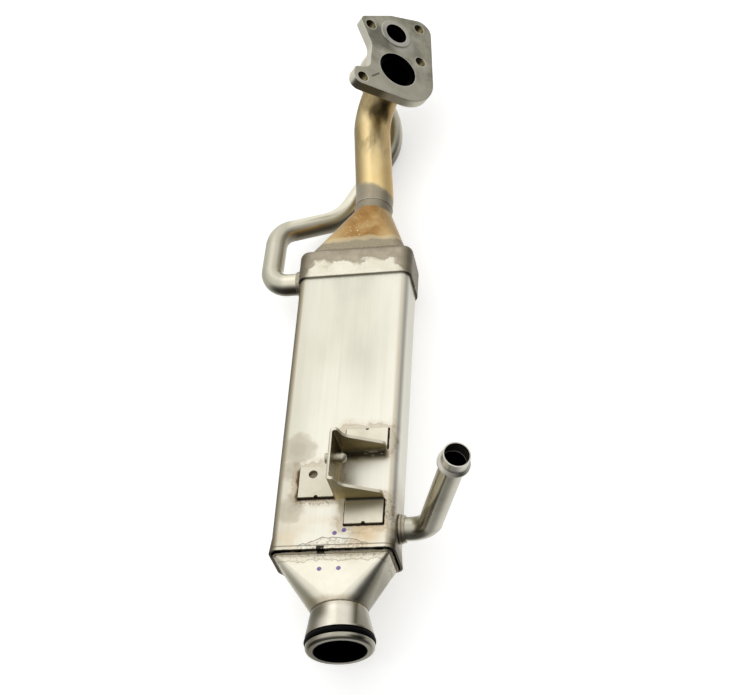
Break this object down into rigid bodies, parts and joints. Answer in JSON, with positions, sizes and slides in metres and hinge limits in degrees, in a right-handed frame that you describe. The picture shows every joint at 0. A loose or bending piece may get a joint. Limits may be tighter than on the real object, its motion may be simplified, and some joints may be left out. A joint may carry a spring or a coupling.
{
  "type": "egr cooler",
  "caption": "Exhaust gas cooler with a flat-tube core in a sheet casing, a bent gas pipe to a bolted flange, a sealed outlet spigot, coolant tubes and a folded bracket.",
  "frame": {"origin": "centre of the end face of the outlet spigot, on the axis of its bore", "axes": "+Y along the casing from the outlet spigot towards the flange, +Z towards the bracket side, +X towards the coolant supply tube"},
  "size_m": [0.1765, 0.5446, 0.1284],
  "materials": {
    "casing_steel": "pale stainless sheet with fine drawing streaks",
    "tinted_steel": "stainless sheet with a grey-brown heat tint",
    "gold_steel": "stainless sheet with a gold heat tint",
    "tube_steel": "satin stainless tube",
    "flange_steel": "matt machined plate",
    "core_steel": "thin brazed sheet",
    "seal_rubber": "satin black"
  },
  "bodies": {
    "root": {"casing": "casing_steel", "inlet_cap": "tinted_steel", "inlet_header": "core_steel", "outlet_header": "core_steel", "inlet_diffuser": "gold_steel", "outlet_diffuser": "casing_steel", "outlet_spigot": "casing_steel", "seal_ring": "seal_rubber", "gas_pipe": "gold_steel", "flange": "flange_steel", "supply_tube": "tube_steel", "return_tube": "tube_steel", "supply_ferrule": "tinted_steel", "return_ferrule": "tinted_steel", "bracket": "casing_steel", "weld_nut": "flange_steel", "gas_tube_1": "core_steel", "gas_tube_2": "core_steel", "gas_tube_3": "core_steel", "gas_tube_4": "core_steel", "gas_tube_5": "core_steel", "gas_tube_6": "core_steel", "gas_tube_7": "core_steel", "gas_tube_8": "core_steel", "fin_strip_1": "core_steel", "fin_strip_2": "core_steel", "fin_strip_3": "core_steel", "fin_strip_4": "core_steel", "fin_strip_5": "core_steel", "fin_strip_6": "core_steel", "fin_strip_7": "core_steel", "fin_strip_8": "core_steel"}
  },
  "joints": []
}
